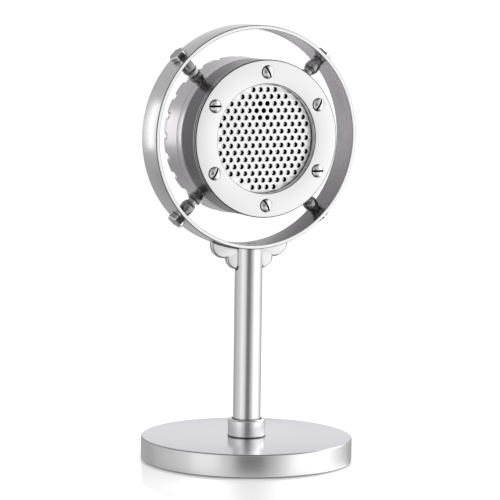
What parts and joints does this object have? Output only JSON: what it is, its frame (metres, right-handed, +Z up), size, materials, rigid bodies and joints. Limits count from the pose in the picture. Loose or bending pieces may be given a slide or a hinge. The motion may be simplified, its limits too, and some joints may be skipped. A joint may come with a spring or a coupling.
{
  "type": "desktop microphone",
  "caption": "Desktop microphone: a round perforated head held on turned posts in a flat-band ring, on a slim stem that swivels in a heavy disc base.",
  "frame": {"origin": "centre of the underside of the base, on the table", "axes": "+Z up along the stem, -Y out of the microphone's face, +X to the right when facing it from the front"},
  "size_m": [0.112, 0.107, 0.22],
  "materials": {
    "satin_steel": "satin, fine brushed",
    "polished_tube": "polished",
    "head_alloy": "satin, bead blasted",
    "barrel_alloy": "turned, semi-polished",
    "turned_chrome": "turned and plated",
    "plated_bolt": "bright plated",
    "dark_steel": "as machined",
    "brass_fitting": "as machined",
    "black_rubber": "matt",
    "black_plastic": "matt",
    "bush_plastic": "as moulded",
    "board_laminate": "solder mask"
  },
  "bodies": {
    "base": {"base_disc": "satin_steel", "base_collar": "satin_steel", "swivel_bush": "bush_plastic", "base_pad": "black_rubber"},
    "stand": {"stem_tube": "polished_tube", "stem_spindle": "dark_steel", "stem_plug": "dark_steel", "disc_spring": "dark_steel", "spindle_washer": "dark_steel", "spindle_bolt": "dark_steel", "gusset_left": "satin_steel", "gusset_right": "satin_steel", "ring_screw": "dark_steel", "ring_hoop": "satin_steel", "hex_bolts": "plated_bolt", "ring_barrels": "turned_chrome", "head_cups": "turned_chrome", "mount_band": "head_alloy", "front_barrel": "barrel_alloy", "face_plate": "head_alloy", "face_screws": "plated_bolt", "face_gasket": "black_rubber", "grille_disc": "head_alloy", "grille_backing": "head_alloy", "capsule": "head_alloy", "capsule_boot": "black_rubber", "capsule_holder": "bush_plastic", "capsule_leads": "brass_fitting", "board_pillars": "brass_fitting", "circuit_board": "board_laminate", "board_screws": "plated_bolt", "audio_chip": "board_laminate", "capacitors": "board_laminate", "crystal": "head_alloy", "socket_shell": "plated_bolt", "socket_insert": "black_plastic", "rear_seal": "black_rubber", "rear_plate": "head_alloy"},
    "lock": {"lock_ring": "head_alloy"}
  },
  "joints": [
    {"name": "stem_swivel", "type": "hinge", "parent": "base", "child": "stand", "pos_m": [0, 0, 0.012], "axis": [0, 0, 1], "continuous": true},
    {"name": "ring_lock", "type": "hinge", "parent": "stand", "child": "lock", "pos_m": [0, 0.01, 0.164], "axis": [0, 1, 0], "range_deg": [0, 50]}
  ]
}
